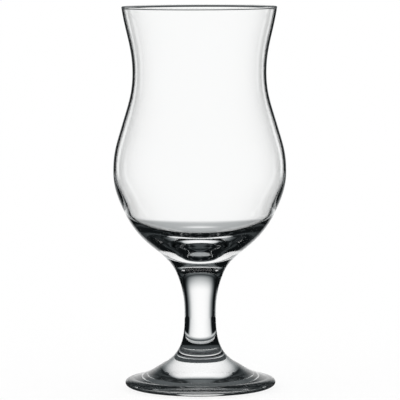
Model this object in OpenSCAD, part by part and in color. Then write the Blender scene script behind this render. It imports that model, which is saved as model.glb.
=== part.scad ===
// Hurricane glass: a blown bowl, a solid stem and a pressed foot, welded end to end.
// All three pieces are turned about +Z. The glass stands on z = 0, and radii are taken from the axis.
// Leans are the angles of the outline, in degrees from level: 90 is upright, over 90 leans inwards.

/* [Foot] */
// Diameter of the foot at its widest line
foot_d = 71.4; // [66:0.2:80]
// Height of the widest line above the table
foot_edge_h = 2.7; // [2.2:0.1:3.2]
// How far the bearing ring's outer edge lies inside the widest line
foot_edge_in = 6.6; // [5:0.1:8]
// How far the level crest on top of the edge lies inside the widest line
crest_in = 3.6; // [2.8:0.1:4.4]
// Height of that crest above the table
crest_h = 5.1; // [4.5:0.1:5.7]
// Lean of the foot's top where it leaves the crest
crest_lean = 161.5; // [157:0.5:166]
// Diameter of the foot where its top is steeper, halfway to the weld
rise_d = 54.4; // [50:0.2:58]
// Height of that place above the table
rise_h = 6.8; // [6.3:0.1:7.4]
// Lean of the foot's top there
rise_lean = 162.5; // [158:0.5:166]
// Height of the weld between foot and stem above the table
foot_h = 12.2; // [10.6:0.2:15]
// Width of the flat ring that the glass stands on
bearing_w = 2.6; // [2:0.1:4]
// Height of the hollow under the foot, which is level as far as its edge
dish_h = 1.7; // [1.2:0.1:2.4]
// Diameter of the level part of that hollow
dish_d = 45.2; // [40:0.2:48]

/* [Stem] */
// Length of the stem, from the foot's weld to the edge of its cup
stem_h = 52.2; // [46:0.2:60]
// Diameter of the stem's lower end, where it is welded to the foot
foot_weld_d = 34.2; // [30:0.2:38]
// Lean of the outline where stem and foot meet
foot_weld_lean = 152; // [147:0.5:156]
// Diameter of the stem at its slimmest
stem_waist_d = 15; // [13:0.1:18]
// Height of the slimmest place above the foot's weld
stem_waist_h = 21.4; // [18:0.2:26]
// Diameter of the stem where it starts to open into its cup
flare_d = 22.3; // [20:0.1:25]
// Distance of that place below the cup's edge
flare_drop = 9.4; // [8:0.2:12]
// Lean of the stem there
flare_lean = 67.5; // [62:0.5:72]
// Diameter of the cup's edge, where the stem holds the bowl
cup_d = 36.8; // [34:0.2:40]
// Lean of the stem's outside at the cup's edge
cup_lean = 45; // [40:0.5:51]
// Depth of the cup that the bowl's rounded base sits in
cup_depth = 6; // [4.5:0.1:7]
// Lean of the cup's seat at its edge
seat_lean = 24; // [18:0.5:28]

/* [Bowl] */
// Height of the bowl, from the cup's edge to the top of the rim
bowl_h = 117.2; // [108:0.2:126]
// Lean of the bowl where it leaves the cup
base_lean = 36.5; // [33:0.5:41]
// Height of the shoulder, halfway up the lower bowl, above the cup's edge
shoulder_h = 20.3; // [18:0.1:22.5]
// Diameter of the bowl at the shoulder
shoulder_d = 72; // [69:0.2:75]
// Lean of the bowl's outside at the shoulder
shoulder_lean = 64.5; // [60:0.5:68]
// Height of the widest place of the bulb above the cup's edge
bulb_h = 39.6; // [37:0.2:43]
// Diameter of the bulb at its widest
bulb_d = 82; // [78:0.2:88]
// Height of the throat, halfway from bulb to waist, above the cup's edge
throat_h = 60.7; // [58:0.2:64]
// Diameter of the bowl at the throat
throat_d = 73.8; // [71:0.2:77]
// Lean of the bowl at the throat
throat_lean = 106.5; // [102:0.5:110]
// Height of the waist above the cup's edge
waist_h = 86; // [82:0.2:91]
// Diameter of the bowl at its waist
waist_d = 63.4; // [60:0.2:68]
// Diameter of the bowl just under the rim's bead
lip_d = 73.4; // [70:0.2:78]
// Lean of the bowl just under the bead
lip_lean = 81.5; // [78:0.5:86]

/* [Walls and rim] */
// Thickness of the solid glass between the cup and the bottom of the hollow
base_t = 6; // [5:0.1:7]
// Diameter of the hollow where its side turns into its bottom
basin_d = 35.4; // [31:0.2:39]
// Height of that place above the cup's edge
basin_h = 7.6; // [6.8:0.1:8.6]
// Lean of the hollow there
basin_lean = 23.5; // [19:0.5:28]
// Thickness of the wall at the shoulder, measured level
shoulder_wall = 2.4; // [1.8:0.1:3]
// Lean of the hollow at the shoulder's height
well_lean = 64; // [59:0.5:67]
// Thickness of the wall at the bulb
bulb_wall = 1.05; // [0.85:0.05:1.4]
// Thickness of the wall at the waist
waist_wall = 0.95; // [0.8:0.05:1.3]
// Thickness of the wall just under the bead
lip_wall = 0.7; // [0.6:0.05:0.75]
// Radius of the fire-polished bead round the rim
bead_r = 0.45; // [0.45:0.05:0.6]
// How far the bead stands proud of the wall outside
bead_proud = 0.1; // [0.05:0.05:0.1]

/* [Hidden] */
$fn = 180;

// Share of a stretch's length that its ends run straight on before they bend; 0.39 is close to an arc
pull_share = 0.39;
stretch_steps = 10;
edge_steps = 6;
bead_steps = 18;

// Heights of the pieces above the table
cup_z = foot_h + stem_h;
rim_z = cup_z + bowl_h;
bead_z = rim_z - bead_r;
lip_z = bead_z - bead_r;

// Radii that the outlines pass through
foot_r = foot_d / 2;
bearing_r = foot_r - foot_edge_in;
foot_weld_r = foot_weld_d / 2;
cup_r = cup_d / 2;
lip_r = lip_d / 2;
bead_centre_r = lip_r + bead_proud - bead_r;

// The bead's circle starts where it crosses the wall's outside and ends where it crosses the inside
bead_from = -acos(min(1, (lip_r - bead_centre_r) / bead_r));
bead_to = 180 + acos(min(1, (bead_centre_r - lip_r + lip_wall) / bead_r));

function unit(lean) = [cos(lean), sin(lean)];

// A smooth stretch of outline from one point and lean to the next, as a cubic curve without its first point
function stretch(from, from_lean, to, to_lean) =
    let (
        pull = pull_share * norm(to - from),
        a = from + pull * unit(from_lean),
        b = to - pull * unit(to_lean)
    )
    [for (i = [1:stretch_steps])
        let (t = i / stretch_steps, s = 1 - t)
        s * s * s * from + 3 * s * s * t * a + 3 * s * t * t * b + t * t * t * to];

// Points round an ellipse's quarter or a circle's arc about a centre, from one angle to another
function arc(centre, radii, from, to, steps) =
    [for (i = [0:steps])
        let (angle = from + (to - from) * i / steps)
        centre + [radii[0] * cos(angle), radii[1] * sin(angle)]];

// Points shared by neighbouring pieces
foot_weld_point = [foot_weld_r, foot_h];
cup_point = [cup_r, cup_z];
cup_bottom = [0, cup_z - cup_depth];

// The seat between bowl and stem, from the axis out to the cup's edge
seat = concat([cup_bottom], stretch(cup_bottom, 0, cup_point, seat_lean));

module turned(outline, tint) {
    color(tint) rotate_extrude() polygon(outline);
}

// Bowl: a rounded solid base, a thin bulb, a waist and a flared mouth with a beaded rim
module bowl() {
    shoulder = [shoulder_d / 2, cup_z + shoulder_h];
    bulb = [bulb_d / 2, cup_z + bulb_h];
    throat = [throat_d / 2, cup_z + throat_h];
    waist = [waist_d / 2, cup_z + waist_h];
    lip = [lip_r, lip_z];
    outside = concat(
        stretch(cup_point, base_lean, shoulder, shoulder_lean),
        stretch(shoulder, shoulder_lean, bulb, 90),
        stretch(bulb, 90, throat, throat_lean),
        stretch(throat, throat_lean, waist, 90),
        stretch(waist, 90, lip, lip_lean)
    );
    rim = arc([bead_centre_r, bead_z], [bead_r, bead_r], bead_from, bead_to, bead_steps);

    // The hollow follows the outside at each place's own wall thickness, down to its rounded bottom
    hollow_lip = lip - [lip_wall, 0];
    hollow_waist = waist - [waist_wall, 0];
    hollow_throat = throat - [(bulb_wall + waist_wall) / 2, 0];
    hollow_bulb = bulb - [bulb_wall, 0];
    well = shoulder - [shoulder_wall, 0];
    basin = [basin_d / 2, cup_z + basin_h];
    well_bottom = cup_bottom + [0, base_t];
    hollow = concat(
        [hollow_lip],
        stretch(hollow_lip, lip_lean + 180, hollow_waist, 270),
        stretch(hollow_waist, 270, hollow_throat, throat_lean + 180),
        stretch(hollow_throat, throat_lean + 180, hollow_bulb, 270),
        stretch(hollow_bulb, 270, well, well_lean + 180),
        stretch(well, well_lean + 180, basin, basin_lean + 180),
        stretch(basin, basin_lean + 180, well_bottom, 180)
    );
    turned(concat(seat, outside, rim, hollow), [0.86, 0.93, 0.95, 0.45]);
}

// Stem: a solid spool that opens downwards onto the foot and upwards into a cup for the bowl
module stem() {
    slimmest = [stem_waist_d / 2, foot_h + stem_waist_h];
    flare = [flare_d / 2, cup_z - flare_drop];
    outside = concat(
        [[0, foot_h], foot_weld_point],
        stretch(foot_weld_point, foot_weld_lean, slimmest, 90),
        stretch(slimmest, 90, flare, flare_lean),
        stretch(flare, flare_lean, cup_point, cup_lean)
    );
    // The seat is walked inwards here, and its last point is already the end of the outside
    seat_inwards = [for (i = [len(seat) - 2:-1:0]) seat[i]];
    turned(concat(outside, seat_inwards), [0.78, 0.86, 0.9, 0.7]);
}

// Foot: a domed disc with a rounded edge, hollow underneath, on a flat bearing ring
module foot() {
    under_edge = arc([bearing_r, foot_edge_h], [foot_edge_in, foot_edge_h], -90, 0, edge_steps);
    over_edge = arc([foot_r - crest_in, foot_edge_h], [crest_in, crest_h - foot_edge_h], 0, 90, edge_steps);
    crest = over_edge[edge_steps];
    rise = [rise_d / 2, rise_h];
    dish_edge = [dish_d / 2, dish_h];
    ring_inner = [bearing_r - bearing_w, 0];
    dish = concat([[0, dish_h], dish_edge], stretch(dish_edge, 0, ring_inner, 0));
    top = concat(
        stretch(crest, crest_lean, rise, rise_lean),
        stretch(rise, rise_lean, foot_weld_point, foot_weld_lean)
    );
    // The widest point ends the lower arc and starts the upper one, so it is taken once
    over_rest = [for (i = [1:edge_steps]) over_edge[i]];
    turned(concat(dish, under_edge, over_rest, top, [[0, foot_h]]), [0.7, 0.8, 0.85, 0.7]);
}

bowl();
stem();
foot();
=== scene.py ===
from math import acos, atan, cos, degrees, pi, radians, sin

import bpy
import bmesh
from mathutils import Matrix, Vector


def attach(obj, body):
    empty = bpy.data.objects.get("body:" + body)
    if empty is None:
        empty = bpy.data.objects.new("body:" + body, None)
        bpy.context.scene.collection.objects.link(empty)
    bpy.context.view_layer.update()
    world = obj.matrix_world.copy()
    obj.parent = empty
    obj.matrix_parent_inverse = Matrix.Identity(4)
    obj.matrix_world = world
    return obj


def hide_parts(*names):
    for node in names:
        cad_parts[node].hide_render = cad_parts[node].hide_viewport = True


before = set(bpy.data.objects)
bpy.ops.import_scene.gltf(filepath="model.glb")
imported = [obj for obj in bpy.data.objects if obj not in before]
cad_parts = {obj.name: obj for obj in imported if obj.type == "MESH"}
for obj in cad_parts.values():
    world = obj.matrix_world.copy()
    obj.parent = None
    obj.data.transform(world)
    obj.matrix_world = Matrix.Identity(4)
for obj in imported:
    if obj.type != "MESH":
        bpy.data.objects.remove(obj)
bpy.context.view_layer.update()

MM = 0.001

# The outline's sizes in millimetres and leans in degrees, the same as the construction's
FOOT_R, FOOT_EDGE_H, FOOT_EDGE_IN = 35.7, 2.7, 6.6
CREST_IN, CREST_H, CREST_LEAN = 3.6, 5.1, 161.5
RISE_R, RISE_H, RISE_LEAN = 27.2, 6.8, 162.5
FOOT_H, BEARING_W, DISH_H, DISH_R = 12.2, 2.6, 1.7, 22.6
STEM_H, FOOT_WELD_R, FOOT_WELD_LEAN = 52.2, 17.1, 152.0
STEM_WAIST_R, STEM_WAIST_H = 7.5, 21.4
FLARE_R, FLARE_DROP, FLARE_LEAN = 11.15, 9.4, 67.5
CUP_R, CUP_LEAN, CUP_DEPTH, SEAT_LEAN = 18.4, 45.0, 6.0, 24.0
BOWL_H, BASE_LEAN = 117.2, 36.5
SHOULDER_H, SHOULDER_R, SHOULDER_LEAN = 20.3, 36.0, 64.5
BULB_H, BULB_R = 39.6, 41.0
THROAT_H, THROAT_R, THROAT_LEAN = 60.7, 36.9, 106.5
WAIST_H, WAIST_R = 86.0, 31.7
LIP_R, LIP_LEAN = 36.7, 81.5
BASE_T, SHOULDER_WALL, WELL_LEAN = 6.0, 2.4, 64.0
BASIN_R, BASIN_H, BASIN_LEAN = 17.7, 7.6, 23.5
BULB_WALL, WAIST_WALL, LIP_WALL = 1.05, 0.95, 0.7
BEAD_R, BEAD_PROUD = 0.45, 0.1

CUP_Z = FOOT_H + STEM_H
RIM_Z = CUP_Z + BOWL_H

# Lean with which both pieces shade at the cup's edge, so that the joint doesn't show
JOINT_LEAN = 41.0

# Share of a stretch's length that its ends run straight on before they bend
PULL_SHARE = 0.39
STEPS = 28
SEAT_STEPS = 16
BEAD_STEPS = 30
UNDER_EDGE_STEPS, OVER_EDGE_STEPS = 14, 24
SEGMENTS = 288
# A radius under this many millimetres is on the axis
ON_AXIS = 1e-6


# Outline

# Each point of an outline is kept with the direction in which the outline runs there

def unit(lean):
    return Vector((cos(radians(lean)), sin(radians(lean))))


def place(point, lean):
    return (Vector(point), unit(lean))


def stretch(start, start_lean, end, end_lean, steps=STEPS):
    """A smooth stretch of outline between two points and leans, without its first point."""
    start, end = Vector(start), Vector(end)
    pull = PULL_SHARE * (end - start).length
    a = start + pull * unit(start_lean)
    b = end - pull * unit(end_lean)
    points = []
    for i in range(1, steps + 1):
        t = i / steps
        s = 1 - t
        point = s ** 3 * start + 3 * s * s * t * a + 3 * s * t * t * b + t ** 3 * end
        slope = s * s * (a - start) + 2 * s * t * (b - a) + t * t * (end - b)
        points.append((point, slope.normalized()))
    return points


def arc(centre, radii, start, end, steps):
    """Points round an ellipse about a centre, from one angle to another."""
    points = []
    for i in range(steps + 1):
        angle = radians(start + (end - start) * i / steps)
        across, up = radii[0] * cos(angle), radii[1] * sin(angle)
        slope = Vector((-radii[0] * sin(angle), radii[1] * cos(angle)))
        points.append((Vector((centre[0] + across, centre[1] + up)), slope.normalized()))
    return points


FOOT_WELD = Vector((FOOT_WELD_R, FOOT_H))
CUP_EDGE = Vector((CUP_R, CUP_Z))
CUP_BOTTOM = Vector((0, CUP_Z - CUP_DEPTH))


def seat_outline():
    return [place(CUP_BOTTOM, 0)] + stretch(CUP_BOTTOM, 0, CUP_EDGE, SEAT_LEAN, SEAT_STEPS)


def bowl_outline():
    """The bowl's seat, outside, rim and hollow, and which of its edges are welds."""
    shoulder = Vector((SHOULDER_R, CUP_Z + SHOULDER_H))
    bulb = Vector((BULB_R, CUP_Z + BULB_H))
    throat = Vector((THROAT_R, CUP_Z + THROAT_H))
    waist = Vector((WAIST_R, CUP_Z + WAIST_H))
    lip = Vector((LIP_R, RIM_Z - 2 * BEAD_R))
    bead = (LIP_R + BEAD_PROUD - BEAD_R, RIM_Z - BEAD_R)
    seat = seat_outline()[:-1] + [place(CUP_EDGE, JOINT_LEAN)]
    outside = (
        stretch(CUP_EDGE, BASE_LEAN, shoulder, SHOULDER_LEAN)
        + stretch(shoulder, SHOULDER_LEAN, bulb, 90)
        + stretch(bulb, 90, throat, THROAT_LEAN)
        + stretch(throat, THROAT_LEAN, waist, 90)
        + stretch(waist, 90, lip, LIP_LEAN)
    )
    bead_from = -degrees(acos(min(1, (LIP_R - bead[0]) / BEAD_R)))
    bead_to = 180 + degrees(acos(min(1, (bead[0] - LIP_R + LIP_WALL) / BEAD_R)))
    rim = arc(bead, (BEAD_R, BEAD_R), bead_from, bead_to, BEAD_STEPS)
    hollow_lip = lip - Vector((LIP_WALL, 0))
    hollow_waist = waist - Vector((WAIST_WALL, 0))
    hollow_throat = throat - Vector(((BULB_WALL + WAIST_WALL) / 2, 0))
    hollow_bulb = bulb - Vector((BULB_WALL, 0))
    well = shoulder - Vector((SHOULDER_WALL, 0))
    basin = Vector((BASIN_R, CUP_Z + BASIN_H))
    well_bottom = CUP_BOTTOM + Vector((0, BASE_T))
    hollow = (
        [place(hollow_lip, LIP_LEAN + 180)]
        + stretch(hollow_lip, LIP_LEAN + 180, hollow_waist, 270)
        + stretch(hollow_waist, 270, hollow_throat, THROAT_LEAN + 180)
        + stretch(hollow_throat, THROAT_LEAN + 180, hollow_bulb, 270)
        + stretch(hollow_bulb, 270, well, WELL_LEAN + 180)
        + stretch(well, WELL_LEAN + 180, basin, BASIN_LEAN + 180)
        + stretch(basin, BASIN_LEAN + 180, well_bottom, 180)
    )
    return seat + outside + rim + hollow, set(range(len(seat) - 1))


def stem_outline():
    """The stem's lower weld, outside and seat, and which of its edges are welds."""
    slimmest = Vector((STEM_WAIST_R, FOOT_H + STEM_WAIST_H))
    flare = Vector((FLARE_R, CUP_Z - FLARE_DROP))
    weld = [place((0, FOOT_H), 0), place(FOOT_WELD, FOOT_WELD_LEAN)]
    outside = (
        stretch(FOOT_WELD, FOOT_WELD_LEAN, slimmest, 90)
        + stretch(slimmest, 90, flare, FLARE_LEAN)
        + stretch(flare, FLARE_LEAN, CUP_EDGE, CUP_LEAN)[:-1]
        + [place(CUP_EDGE, JOINT_LEAN)]
    )
    seat = seat_outline()[-2::-1]
    points = weld + outside + seat
    first_seat_edge = len(weld) + len(outside) - 1
    return points, {0} | set(range(first_seat_edge, len(points) - 1))


def foot_outline():
    """The foot's underside, edge and top, and which of its edges are welds."""
    bearing_r = FOOT_R - FOOT_EDGE_IN
    under_centre = (bearing_r, FOOT_EDGE_H)
    over_centre = (FOOT_R - CREST_IN, FOOT_EDGE_H)
    under_edge = arc(under_centre, (FOOT_EDGE_IN, FOOT_EDGE_H), -90, 0, UNDER_EDGE_STEPS)
    over_edge = arc(over_centre, (CREST_IN, CREST_H - FOOT_EDGE_H), 0, 90, OVER_EDGE_STEPS)[1:]
    dish_top = Vector((0, DISH_H))
    dish_edge = Vector((DISH_R, DISH_H))
    dish = [place(dish_top, 0), place(dish_edge, 0)] + stretch(dish_edge, 0, (bearing_r - BEARING_W, 0), 0)
    rise = Vector((RISE_R, RISE_H))
    top = (
        stretch(over_edge[-1][0], CREST_LEAN, rise, RISE_LEAN)
        + stretch(rise, RISE_LEAN, FOOT_WELD, FOOT_WELD_LEAN)
    )
    points = dish + under_edge + over_edge + top + [place((0, FOOT_H), 180)]
    return points, {len(points) - 2}


def turned(name, outline, welds, materials):
    """A closed mesh turned about the axis. Outline edges in welds get the second material."""
    bm = bmesh.new()
    rings = []
    normals = []
    for (r, z), slope in outline:
        if r < ON_AXIS:
            rings.append([bm.verts.new((0, 0, z * MM))])
            normals.append((0, 0, -slope.x))
            continue
        ring = []
        for k in range(SEGMENTS):
            angle = 2 * pi * k / SEGMENTS
            ring.append(bm.verts.new((r * MM * cos(angle), r * MM * sin(angle), z * MM)))
            normals.append((slope.y * cos(angle), slope.y * sin(angle), -slope.x))
        rings.append(ring)
    for i in range(len(rings) - 1):
        low, high = rings[i], rings[i + 1]
        for k in range(SEGMENTS):
            n = (k + 1) % SEGMENTS
            if len(low) == 1:
                corners = (low[0], high[n], high[k])
            elif len(high) == 1:
                corners = (low[k], low[n], high[0])
            else:
                corners = (low[k], low[n], high[n], high[k])
            face = bm.faces.new(corners)
            face.smooth = True
            face.material_index = 1 if i in welds else 0
    bmesh.ops.recalc_face_normals(bm, faces=bm.faces)
    mesh = bpy.data.meshes.new(name)
    bm.to_mesh(mesh)
    bm.free()
    mesh.normals_split_custom_set_from_vertices(normals)
    for material in materials:
        mesh.materials.append(material)
    piece = bpy.data.objects.new(name, mesh)
    bpy.context.scene.collection.objects.link(piece)
    return piece


# Node helpers

class Sums:
    """Writes arithmetic as nodes in one node tree."""

    def __init__(self, tree):
        tree.nodes.clear()
        self.nodes = tree.nodes
        self.links = tree.links

    def feed(self, socket, value):
        if isinstance(value, bpy.types.NodeSocket):
            self.links.new(value, socket)
        else:
            socket.default_value = value

    def math(self, operation, a, b=0.0):
        node = self.nodes.new("ShaderNodeMath")
        node.operation = operation
        self.feed(node.inputs[0], a)
        self.feed(node.inputs[1], b)
        return node.outputs[0]

    def times(self, first, *others):
        """All the values multiplied."""
        for other in others:
            first = self.math("MULTIPLY", first, other)
        return first

    def ramp(self, value, start, end, from_value, to_value):
        """Smooth change from one value to another while the input goes from start to end."""
        node = self.nodes.new("ShaderNodeMapRange")
        node.interpolation_type = "SMOOTHSTEP"
        self.feed(node.inputs["Value"], value)
        self.feed(node.inputs["From Min"], start)
        self.feed(node.inputs["From Max"], end)
        self.feed(node.inputs["To Min"], from_value)
        self.feed(node.inputs["To Max"], to_value)
        return node.outputs[0]

    def mix(self, share, a, b):
        """a where share is 0 and b where it is 1."""
        node = self.nodes.new("ShaderNodeMix")
        self.feed(node.inputs[0], share)
        self.feed(node.inputs[2], a)
        self.feed(node.inputs[3], b)
        return node.outputs[0]

    def split(self, vector):
        """The x, y and z of a vector."""
        node = self.nodes.new("ShaderNodeSeparateXYZ")
        self.links.new(vector, node.inputs[0])
        return node.outputs

    def end(self, shader, kind="ShaderNodeOutputMaterial"):
        """Joins a shader to the tree's output."""
        node = self.nodes.new(kind)
        self.links.new(shader.outputs[0], node.inputs["Surface"])


def new_material(name):
    material = bpy.data.materials.new(name)
    material.use_nodes = True
    return material, Sums(material.node_tree)


# Materials

GLASS_COLOUR = (0.995, 0.998, 0.997, 1)
GLASS_IOR = 1.5
# How much the glass mirrors at a right angle, as a share of what clear glass would
MIRROR_TINT = 0.2

# The blown wall lies between these heights in metres and is perfectly smooth; the rest has this roughness
BLOWN_FROM, BLOWN_TO = 0.079, 0.1803
PRESSED_ROUGHNESS = 0.036

# Waviness in metres, which falls to a share of itself on the way up to the blown wall
WAVE_SIZE, WAVE_DEPTH = 0.009, 0.000014
PRESSED_FULL, PRESSED_END, BLOWN_WAVES = 0.072, 0.090, 0.25

# Stipple in metres on the bearing ring, gone at the height STIPPLE_TOP
STIPPLE_SIZE, STIPPLE_DEPTH, STIPPLE_TOP = 0.0009, 0.000030, 0.0012
NOISE_DETAIL = 1.0


def waves(sums, place, size, depth, share):
    """Height in metres of a fine unevenness whose waves are about as long as size."""
    noise = sums.nodes.new("ShaderNodeTexNoise")
    sums.links.new(place, noise.inputs["Vector"])
    noise.inputs["Scale"].default_value = 1 / size
    noise.inputs["Detail"].default_value = NOISE_DETAIL
    return sums.times(noise.outputs[0], depth, share)


def glass_material():
    """Clear glass: the blown wall is perfectly smooth, the pressed base, stem and foot a little less so."""
    material, sums = new_material("clear_glass")
    place = sums.nodes.new("ShaderNodeTexCoord").outputs["Object"]
    z = sums.split(place)["Z"]
    blown = sums.times(sums.math("GREATER_THAN", z, BLOWN_FROM), sums.math("LESS_THAN", z, BLOWN_TO))
    pressed = sums.ramp(z, PRESSED_FULL, PRESSED_END, 1.0, BLOWN_WAVES)
    stippled = sums.ramp(z, 0.0, STIPPLE_TOP, 1.0, 0.0)
    waviness = waves(sums, place, WAVE_SIZE, WAVE_DEPTH, pressed)
    stipple = waves(sums, place, STIPPLE_SIZE, STIPPLE_DEPTH, stippled)
    bump = sums.nodes.new("ShaderNodeBump")
    bump.inputs["Distance"].default_value = 1.0
    sums.links.new(sums.math("ADD", waviness, stipple), bump.inputs["Height"])
    shader = sums.nodes.new("ShaderNodeBsdfPrincipled")
    shader.inputs["Base Color"].default_value = GLASS_COLOUR
    shader.inputs["IOR"].default_value = GLASS_IOR
    shader.inputs["Transmission Weight"].default_value = 1.0
    shader.inputs["Specular Tint"].default_value = (MIRROR_TINT, MIRROR_TINT, MIRROR_TINT, 1)
    sums.links.new(sums.mix(blown, PRESSED_ROUGHNESS, 0.0), shader.inputs["Roughness"])
    sums.links.new(bump.outputs[0], shader.inputs["Normal"])
    sums.end(shader)
    return material


def weld_material():
    """Glass meets glass here, so nothing bends or reflects the light."""
    material, sums = new_material("weld")
    sums.end(sums.nodes.new("ShaderNodeBsdfTransparent"))
    return material


# Studio

# A brightness of 1 is white. Distances and heights are in metres, angles in degrees from the back

# What the glass sees where nothing shines, and the powers that make dim light a little blue
DARK = 0.005
COOL_RED, COOL_GREEN = 1.06, 1.015

# What the floor's own rays see through the glass
SHADED = 1.0

# The floor as rough glass shows it through the wall: painted grey shade out to WALLS_FROM, white from
# WALLS_TO on.
# The painted shade lies behind the glass alone and is gone at WALLS_SECTOR_END
WALLS_NEAR, WALLS_FROM, WALLS_TO = 0.5, 0.17, 0.25
WALLS_SECTOR, WALLS_SECTOR_END = 16.0, 34.0

# Light panels on four sides: distance from the axis, half their width, and the softness of their sides
PANEL_AWAY, PANEL_HALF, PANEL_SOFT = 0.242, 0.140, 0.066
# They are narrower, above these heights, where the smooth wall mirrors them
PANEL_HALF_WALL, NARROW_FROM, NARROW_TO = 0.075, 0.055, 0.085
# Their light falls to HIGH_GLOW around the height PANEL_TOP, and they reach up to PANEL_REACH
PANEL_TOP, PANEL_TOP_SOFT = 0.125, 0.052
PANEL_REACH, HIGH_GLOW = 0.35, 0.04
# A dim band higher up on them, which the foot's top mirrors
BAND_FROM, BAND_FULL, BAND_FADE, BAND_TO, BAND_GLOW = 0.175, 0.195, 0.25, 0.30, 0.105
# Share of the light of the panels at the sides and front that is mirrored
OTHERS_MIRRORED = 0.05

# White cards at both sides, whose light rises between two heights; only the smooth wall mirrors all of it
CARD_AZIMUTH, CARD_AWAY, CARD_HALF = 69.0, 0.35, 0.28
CARD_FROM, CARD_TO = 0.0, 0.10
CARD_GLOW, CARD_FAINT = 1.0, 0.02

# The light part of the floor behind the glass, and how its light and the panels' falls off sideways
SECTOR_HALF, SECTOR_SOFT = 29.5, 4.5
PANEL_FADE, FADE_POWER = 0.5, 2.5
# The floor's shade under and close around the foot, for mirrored rays and for rays that go straight on
NEAR_FROM, NEAR_TO = 0.046, 0.068
NEAR_SHADE, UNDER_SHADE = 0.065, 0.10
# Under the stem the mirrored rays see it darker still
CENTRE_FROM, CENTRE_TO, CENTRE_SHADE = 0.007, 0.016, 0.010
# For rays that go straight on, the floor is light around the foot on all sides, out to RING_END
RING_FADE, RING_END, RING_GLOW = 0.055, 0.075, 1.0

FLOOR_RADIUS, FLOOR_SEGMENTS, FLOOR_DROP = 12.0, 128, 0.0002
FLOOR_WHITE = 1.0
# Share of the floor that shines by itself for the camera; the rest is lit and keeps the shadow
FLOOR_GLOW = 0.8

# Counts of bounces are compared with these: one or more, and three or more
ANY_BOUNCE, THREE_BOUNCES = 0.5, 2.5


def ray_facts(sums):
    return sums.nodes.new("ShaderNodeLightPath").outputs


def was_mirrored(sums, ray):
    """1 for a ray that was mirrored anywhere on its way."""
    return sums.math("GREATER_THAN", ray["Glossy Depth"], ANY_BOUNCE)


def was_straight(sums, ray):
    """1 for a ray that was never mirrored."""
    return sums.math("LESS_THAN", ray["Glossy Depth"], ANY_BOUNCE)


def seen_by_glass(sums, studio, walls=1.0):
    """What a ray from the glass sees, and whether the ray is one.

    A ray that wasn't mirrored and left a smooth surface, or passed three surfaces, looks through the wall.
    It sees white, or walls where the last surface is rough. All other rays from the glass see the studio.
    """
    ray = ray_facts(sums)
    smooth = ray["Is Singular Ray"]
    many = sums.math("GREATER_THAN", ray["Transmission Depth"], THREE_BOUNCES)
    through_walls = sums.times(was_straight(sums, ray), sums.math("MAXIMUM", many, smooth))
    seen = sums.mix(through_walls, studio, sums.mix(smooth, walls, 1.0))
    from_floor = sums.math("GREATER_THAN", ray["Diffuse Depth"], ANY_BOUNCE)
    by_glass = sums.math("MAXIMUM", ray["Is Transmission Ray"], ray["Is Glossy Ray"])
    return sums.mix(from_floor, seen, SHADED), by_glass


def cool(sums, level):
    """Grey light that is a little blue where it is dark and neutral where it is white."""
    level = sums.math("MINIMUM", level, 1.0)
    shades = sums.nodes.new("ShaderNodeCombineColor")
    sums.links.new(sums.math("POWER", level, COOL_RED), shades.inputs[0])
    sums.links.new(sums.math("POWER", level, COOL_GREEN), shades.inputs[1])
    sums.links.new(level, shades.inputs[2])
    return shades.outputs[0]


def fade(sums, share):
    """Light that falls off towards a panel's or the floor sector's edge."""
    power = sums.math("POWER", sums.math("MINIMUM", share, 1.0), FADE_POWER)
    return sums.math("SUBTRACT", 1.0, sums.times(power, PANEL_FADE))


def soft_edge(sums, share, soft):
    """Light that ends softly where share is 1."""
    return sums.ramp(share, 1 - soft, 1 + soft, 1.0, 0.0)


def make_world():
    """White for the camera, the floor and the thin wall, and dark for all else that the glass shows."""
    world = bpy.data.worlds.new("studio")
    bpy.context.scene.world = world
    world.use_nodes = True
    world.cycles.sampling_method = "NONE"
    sums = Sums(world.node_tree)
    seen, by_glass = seen_by_glass(sums, DARK)
    shader = sums.nodes.new("ShaderNodeBackground")
    sums.links.new(cool(sums, sums.mix(by_glass, 1.0, seen)), shader.inputs["Color"])
    sums.end(shader, "ShaderNodeOutputWorld")


def shining_material(name):
    """A material that takes no part in the sampling of lamps."""
    material, sums = new_material(name)
    material.cycles.emission_sampling = "NONE"
    return material, sums


def shine(sums, glow):
    """Ends a panel's or card's tree with its glow over the dark."""
    seen, by_glass = seen_by_glass(sums, sums.math("ADD", glow, DARK))
    emission = sums.nodes.new("ShaderNodeEmission")
    sums.links.new(cool(sums, seen), emission.inputs["Color"])
    sums.end(emission)


def panel_material(share_mirrored):
    """A light panel, of whose light the glass mirrors a share."""
    material, sums = shining_material("light_panel")
    place = sums.split(sums.nodes.new("ShaderNodeTexCoord").outputs["Object"])
    x, z = place["X"], place["Z"]
    ray = ray_facts(sums)
    mirrored = was_mirrored(sums, ray)
    in_wall = sums.times(mirrored, ray["Is Singular Ray"])
    narrowed = sums.ramp(z, NARROW_FROM, NARROW_TO, PANEL_HALF, PANEL_HALF_WALL)
    half = sums.mix(in_wall, PANEL_HALF, narrowed)
    across = sums.math("DIVIDE", sums.math("ABSOLUTE", x), half)
    wide = soft_edge(sums, across, PANEL_SOFT / PANEL_HALF)
    high = sums.ramp(z, PANEL_TOP - PANEL_TOP_SOFT, PANEL_TOP + PANEL_TOP_SOFT, 1.0, HIGH_GLOW)
    band_rise = sums.ramp(z, BAND_FROM, BAND_FULL, 0.0, BAND_GLOW)
    band_fall = sums.ramp(z, BAND_FADE, BAND_TO, 1.0, 0.0)
    high = sums.math("ADD", high, sums.times(band_rise, band_fall))
    shine(sums, sums.times(wide, high, fade(sums, across), sums.mix(mirrored, 1.0, share_mirrored)))
    return material


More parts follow.
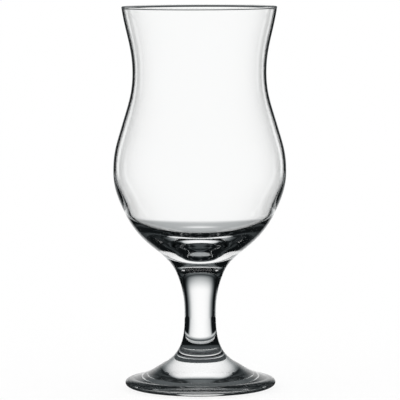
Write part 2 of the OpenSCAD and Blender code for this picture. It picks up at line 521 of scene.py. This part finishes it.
def card_material():
    """A white card, for what the bowl's wall mirrors at its sides."""
    material, sums = shining_material("side_card")
    z = sums.split(sums.nodes.new("ShaderNodeTexCoord").outputs["Object"])["Z"]
    ray = ray_facts(sums)
    share = sums.times(sums.mix(ray["Is Singular Ray"], CARD_FAINT, CARD_GLOW), was_mirrored(sums, ray))
    shine(sums, sums.times(sums.ramp(z, CARD_FROM, CARD_TO, 0.0, 1.0), share))
    return material


def make_panel(name, material, azimuth, away, half):
    """An upright panel or card, which only the glass sees."""
    corners = [(-half, 0, 0), (half, 0, 0), (half, 0, PANEL_REACH), (-half, 0, PANEL_REACH)]
    mesh = bpy.data.meshes.new(name)
    mesh.from_pydata(corners, [], [(0, 1, 2, 3)])
    mesh.materials.append(material)
    panel = bpy.data.objects.new(name, mesh)
    panel.location = (away * sin(radians(azimuth)), away * cos(radians(azimuth)), 0)
    panel.rotation_euler.z = radians(-azimuth)
    panel.visible_camera = False
    panel.visible_diffuse = False
    panel.visible_shadow = False
    bpy.context.scene.collection.objects.link(panel)


def make_panels():
    half = PANEL_HALF + PANEL_SOFT
    make_panel("panel_back", panel_material(1.0), 0, PANEL_AWAY, half)
    cards = card_material()
    for name, azimuth in (("card_left", -CARD_AZIMUTH), ("card_right", CARD_AZIMUTH)):
        make_panel(name, cards, azimuth, CARD_AWAY, CARD_HALF)
    others = panel_material(OTHERS_MIRRORED)
    for name, azimuth in (("panel_right", 90), ("panel_front", 180), ("panel_left", 270)):
        make_panel(name, others, azimuth, PANEL_AWAY, half)


def floor_material():
    """White and partly lit for the camera; for the glass, light behind and around it and dim below it."""
    material, sums = shining_material("pale_floor")
    place = sums.split(sums.nodes.new("ShaderNodeNewGeometry").outputs["Position"])
    x, y = place["X"], place["Y"]
    away = sums.math("SQRT", sums.math("ADD", sums.times(x, x), sums.times(y, y)))
    angle = sums.math("ABSOLUTE", sums.math("ARCTAN2", x, y))
    azimuth = sums.math("DIVIDE", angle, radians(SECTOR_HALF))
    sector = sums.times(soft_edge(sums, azimuth, SECTOR_SOFT / SECTOR_HALF), fade(sums, azimuth))
    ray = ray_facts(sums)
    straight = was_straight(sums, ray)
    mirrored_shade = sums.ramp(away, CENTRE_FROM, CENTRE_TO, CENTRE_SHADE, NEAR_SHADE)
    near = sums.ramp(away, NEAR_FROM, NEAR_TO, sums.mix(straight, mirrored_shade, UNDER_SHADE), 1.0)
    ring = sums.times(sums.ramp(away, RING_FADE, RING_END, RING_GLOW, 0.0), straight)
    studio = sums.math("ADD", sums.times(sums.math("MAXIMUM", sector, ring), near), DARK)
    # Painted shade on the floor close behind the glass, for what rough glass shows through the wall
    shaded = sums.ramp(angle, radians(WALLS_SECTOR), radians(WALLS_SECTOR_END), WALLS_NEAR, 1.0)
    walls = sums.ramp(away, WALLS_FROM, WALLS_TO, shaded, 1.0)
    seen, by_glass = seen_by_glass(sums, studio, walls)
    matte = sums.nodes.new("ShaderNodeBsdfDiffuse")
    matte.inputs["Color"].default_value = (FLOOR_WHITE, FLOOR_WHITE, FLOOR_WHITE, 1)
    glow = sums.nodes.new("ShaderNodeEmission")
    sums.links.new(cool(sums, sums.mix(ray["Is Camera Ray"], seen, 1.0)), glow.inputs["Color"])
    both = sums.nodes.new("ShaderNodeMixShader")
    own_light = sums.times(ray["Is Camera Ray"], FLOOR_GLOW)
    sums.links.new(sums.math("MAXIMUM", by_glass, own_light), both.inputs[0])
    sums.links.new(matte.outputs[0], both.inputs[1])
    sums.links.new(glow.outputs[0], both.inputs[2])
    sums.end(both)
    return material


def make_floor():
    bm = bmesh.new()
    bmesh.ops.create_circle(bm, cap_ends=True, segments=FLOOR_SEGMENTS, radius=FLOOR_RADIUS)
    mesh = bpy.data.meshes.new("floor")
    bm.to_mesh(mesh)
    bm.free()
    mesh.materials.append(floor_material())
    floor = bpy.data.objects.new("floor", mesh)
    floor.location.z = -FLOOR_DROP
    bpy.context.scene.collection.objects.link(floor)


# Camera

# Metres and degrees. The focal length and the axis's place across the frame are in pixels of a 400 px frame
IMAGE = 400
CAMERA_AWAY, CAMERA_HEIGHT = 1.5933, 0.22443
CAMERA_PITCH, CAMERA_ROLL = 4.8308, 0.19
FOCAL_PX = 3368.9
AXIS_PX = 199.85
SENSOR_MM = 36.0
CLIP_START, CLIP_END = 0.1, 50.0

# Enough bounces for light to leave the thick glass
MOST_BOUNCES = 24
GLOSSY_BOUNCES, TRANSMISSION_BOUNCES, CLEAR_BOUNCES = 16, 20, 24


def make_camera():
    data = bpy.data.cameras.new("camera")
    data.sensor_width = SENSOR_MM
    data.lens = FOCAL_PX * SENSOR_MM / IMAGE
    data.clip_start = CLIP_START
    data.clip_end = CLIP_END
    camera = bpy.data.objects.new("camera", data)
    bpy.context.scene.collection.objects.link(camera)
    turn = atan((AXIS_PX - IMAGE / 2) / FOCAL_PX)
    camera.matrix_world = (
        Matrix.Translation((0, -CAMERA_AWAY, CAMERA_HEIGHT))
        @ Matrix.Rotation(turn, 4, "Z")
        @ Matrix.Rotation(radians(90 - CAMERA_PITCH), 4, "X")
        @ Matrix.Rotation(radians(-CAMERA_ROLL), 4, "Z")
    )
    bpy.context.scene.camera = camera


def set_light_paths():
    cycles = bpy.context.scene.cycles
    cycles.max_bounces = MOST_BOUNCES
    cycles.glossy_bounces = GLOSSY_BOUNCES
    cycles.transmission_bounces = TRANSMISSION_BOUNCES
    cycles.transparent_max_bounces = CLEAR_BOUNCES


make_camera()
make_world()
make_floor()
make_panels()
set_light_paths()

glass = glass_material()
weld = weld_material()
for name, outline in (("bowl", bowl_outline), ("stem", stem_outline), ("foot", foot_outline)):
    points, welds = outline()
    piece = turned("glass_" + name, points, welds, (glass, weld))
    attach(piece, "root")
    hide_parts(name)

view = bpy.context.scene.view_settings
view.view_transform = "Standard"
